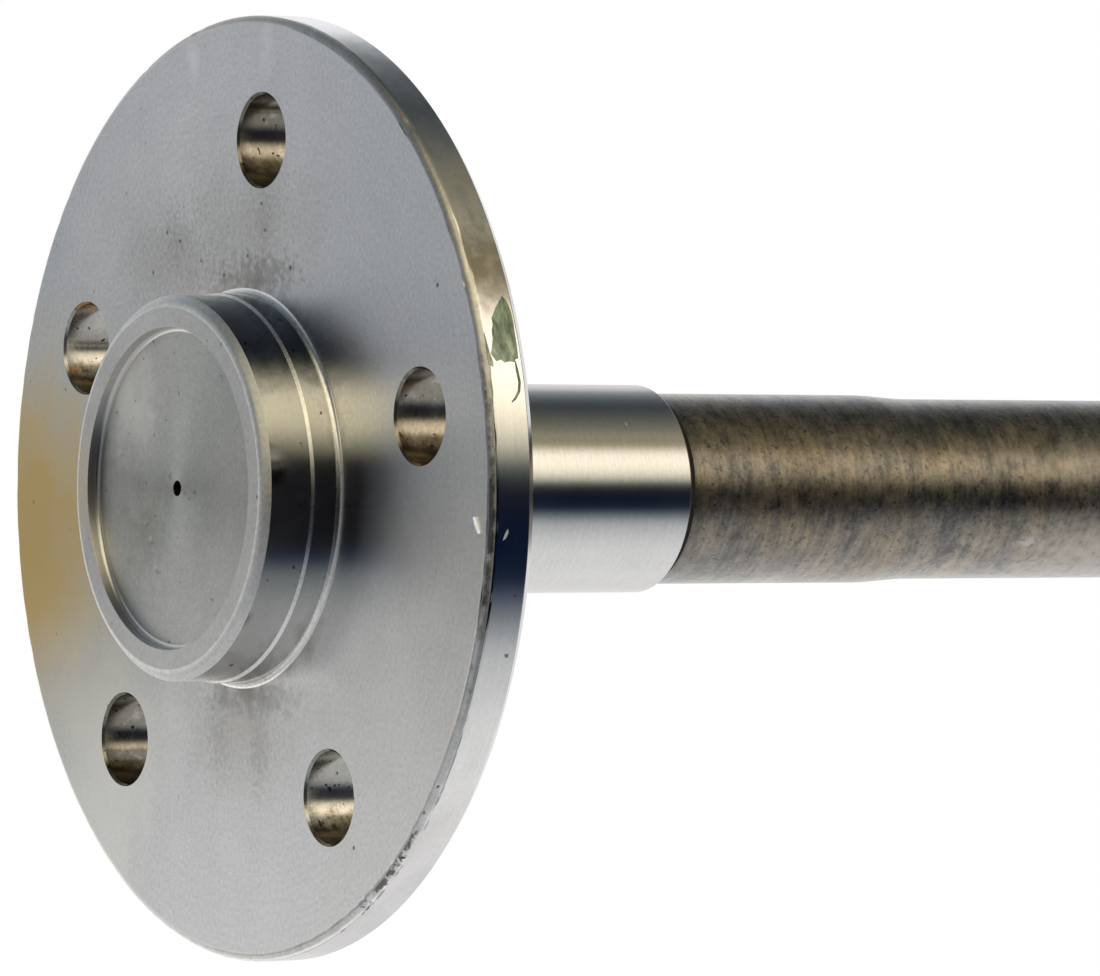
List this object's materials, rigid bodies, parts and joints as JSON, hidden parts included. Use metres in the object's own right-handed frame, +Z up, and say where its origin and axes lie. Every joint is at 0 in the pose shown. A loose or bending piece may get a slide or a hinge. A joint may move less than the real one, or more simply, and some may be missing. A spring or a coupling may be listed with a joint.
{
  "type": "flanged axle shaft",
  "caption": "One-piece steel rear axle shaft: a drilled wheel flange with a stepped pilot, a ground bearing journal, a dark forged shaft, and a splined inner end with a clip groove.",
  "frame": {"origin": "centre of the flange's wheel face, which is the centre of the stud circle", "axes": "+Y along the shaft from the wheel face to the splined tip, +Z up, +X completes a right-handed frame"},
  "size_m": [0.155, 0.754, 0.1548],
  "materials": {
    "machined_steel": "turned flange and pilot, ground journal, dark as-forged shaft, lightly oiled"
  },
  "bodies": {
    "root": {"axle_shaft": "machined_steel"}
  },
  "joints": []
}
